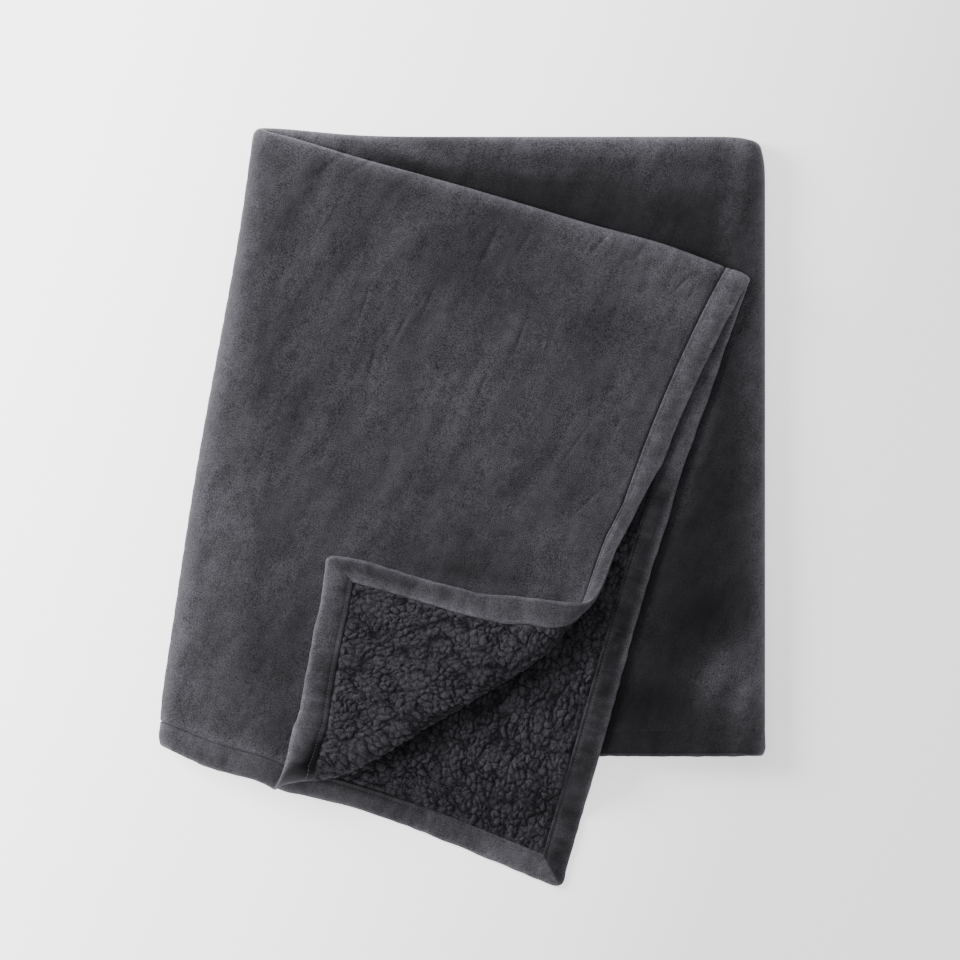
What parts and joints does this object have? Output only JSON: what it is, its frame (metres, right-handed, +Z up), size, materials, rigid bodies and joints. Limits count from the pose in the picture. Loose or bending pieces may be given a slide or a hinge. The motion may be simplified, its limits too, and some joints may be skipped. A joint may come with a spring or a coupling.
{
  "type": "throw blanket",
  "caption": "Folded throw blanket with a smooth velvet face and a curly pile back, bound along its edges, its upper fold swung askew and a corner turned back.",
  "frame": {"origin": "on the surface that the folded throw lies on, below the centre of its box", "axes": "+Z up, +Y towards the bend of the half fold, +X towards the fold that the thirds start from"},
  "size_m": [0.6202, 0.7784, 0.0778],
  "materials": {
    "velvet": "matt charcoal velvet with a brushed nap",
    "curly_pile": "matt charcoal curly pile",
    "binding": "matt charcoal velvet strip, stitched"
  },
  "bodies": {
    "root": {"velvet_panel": "velvet", "pile_panel": "curly_pile", "binding_first_side": "binding", "binding_second_side": "binding", "binding_flap_end": "binding", "binding_under_end": "binding"}
  },
  "joints": []
}
